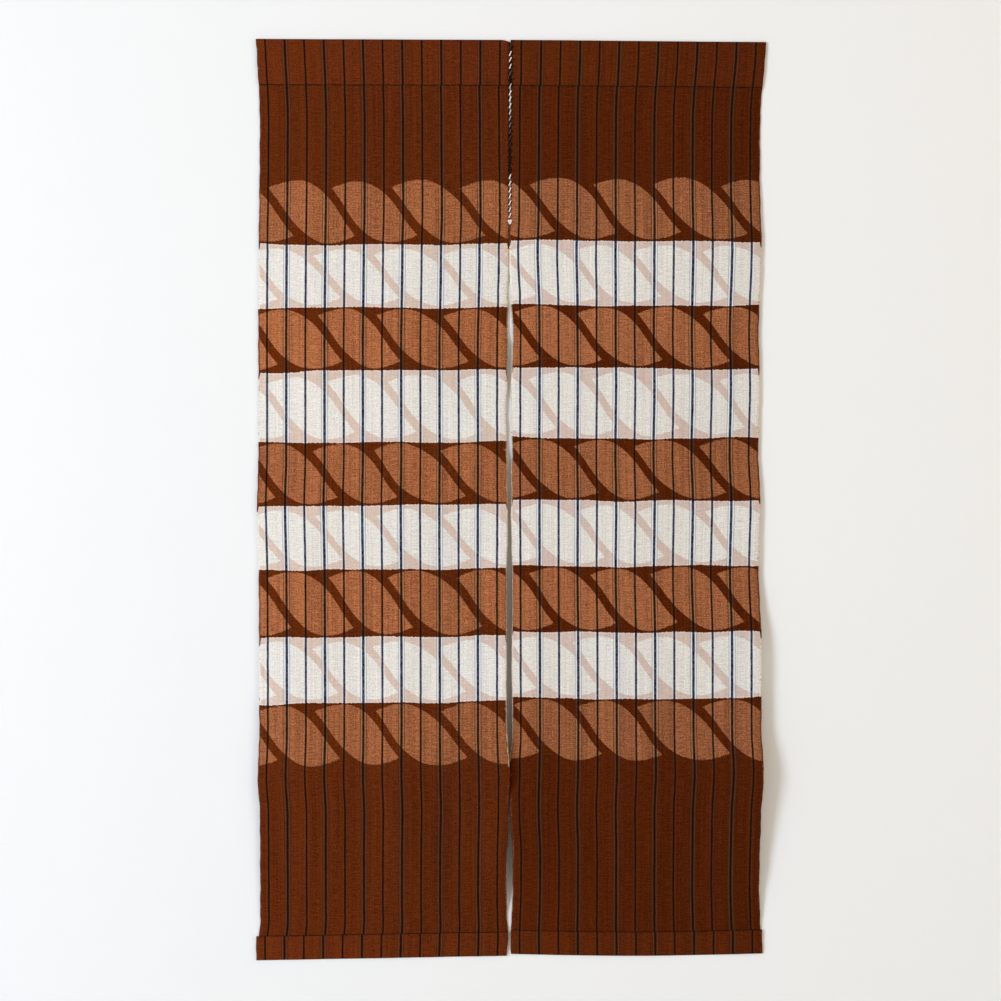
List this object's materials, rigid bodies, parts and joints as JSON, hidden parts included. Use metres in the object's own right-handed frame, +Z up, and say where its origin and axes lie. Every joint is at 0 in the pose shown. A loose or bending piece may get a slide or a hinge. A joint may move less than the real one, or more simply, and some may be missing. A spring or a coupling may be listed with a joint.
{
  "type": "noren curtain",
  "caption": "Short split doorway curtain: two loom-width lengths of striped, dyed cotton laced together at the top, with a folded rod pocket and a hem.",
  "frame": {"origin": "middle of the top edge, at the fold of the rod pocket", "axes": "+Z up, +X along the top edge to the viewer's right, -Y towards the side that the heading and the hem are folded to"},
  "size_m": [0.831, 0.0344, 1.5007],
  "materials": {
    "cloth": "matte plain weave, dyed brown and left pale in bands",
    "thread": "matte thick twisted thread"
  },
  "bodies": {
    "root": {"panel_left": "cloth", "panel_right": "cloth", "lacing": "thread"}
  },
  "joints": []
}
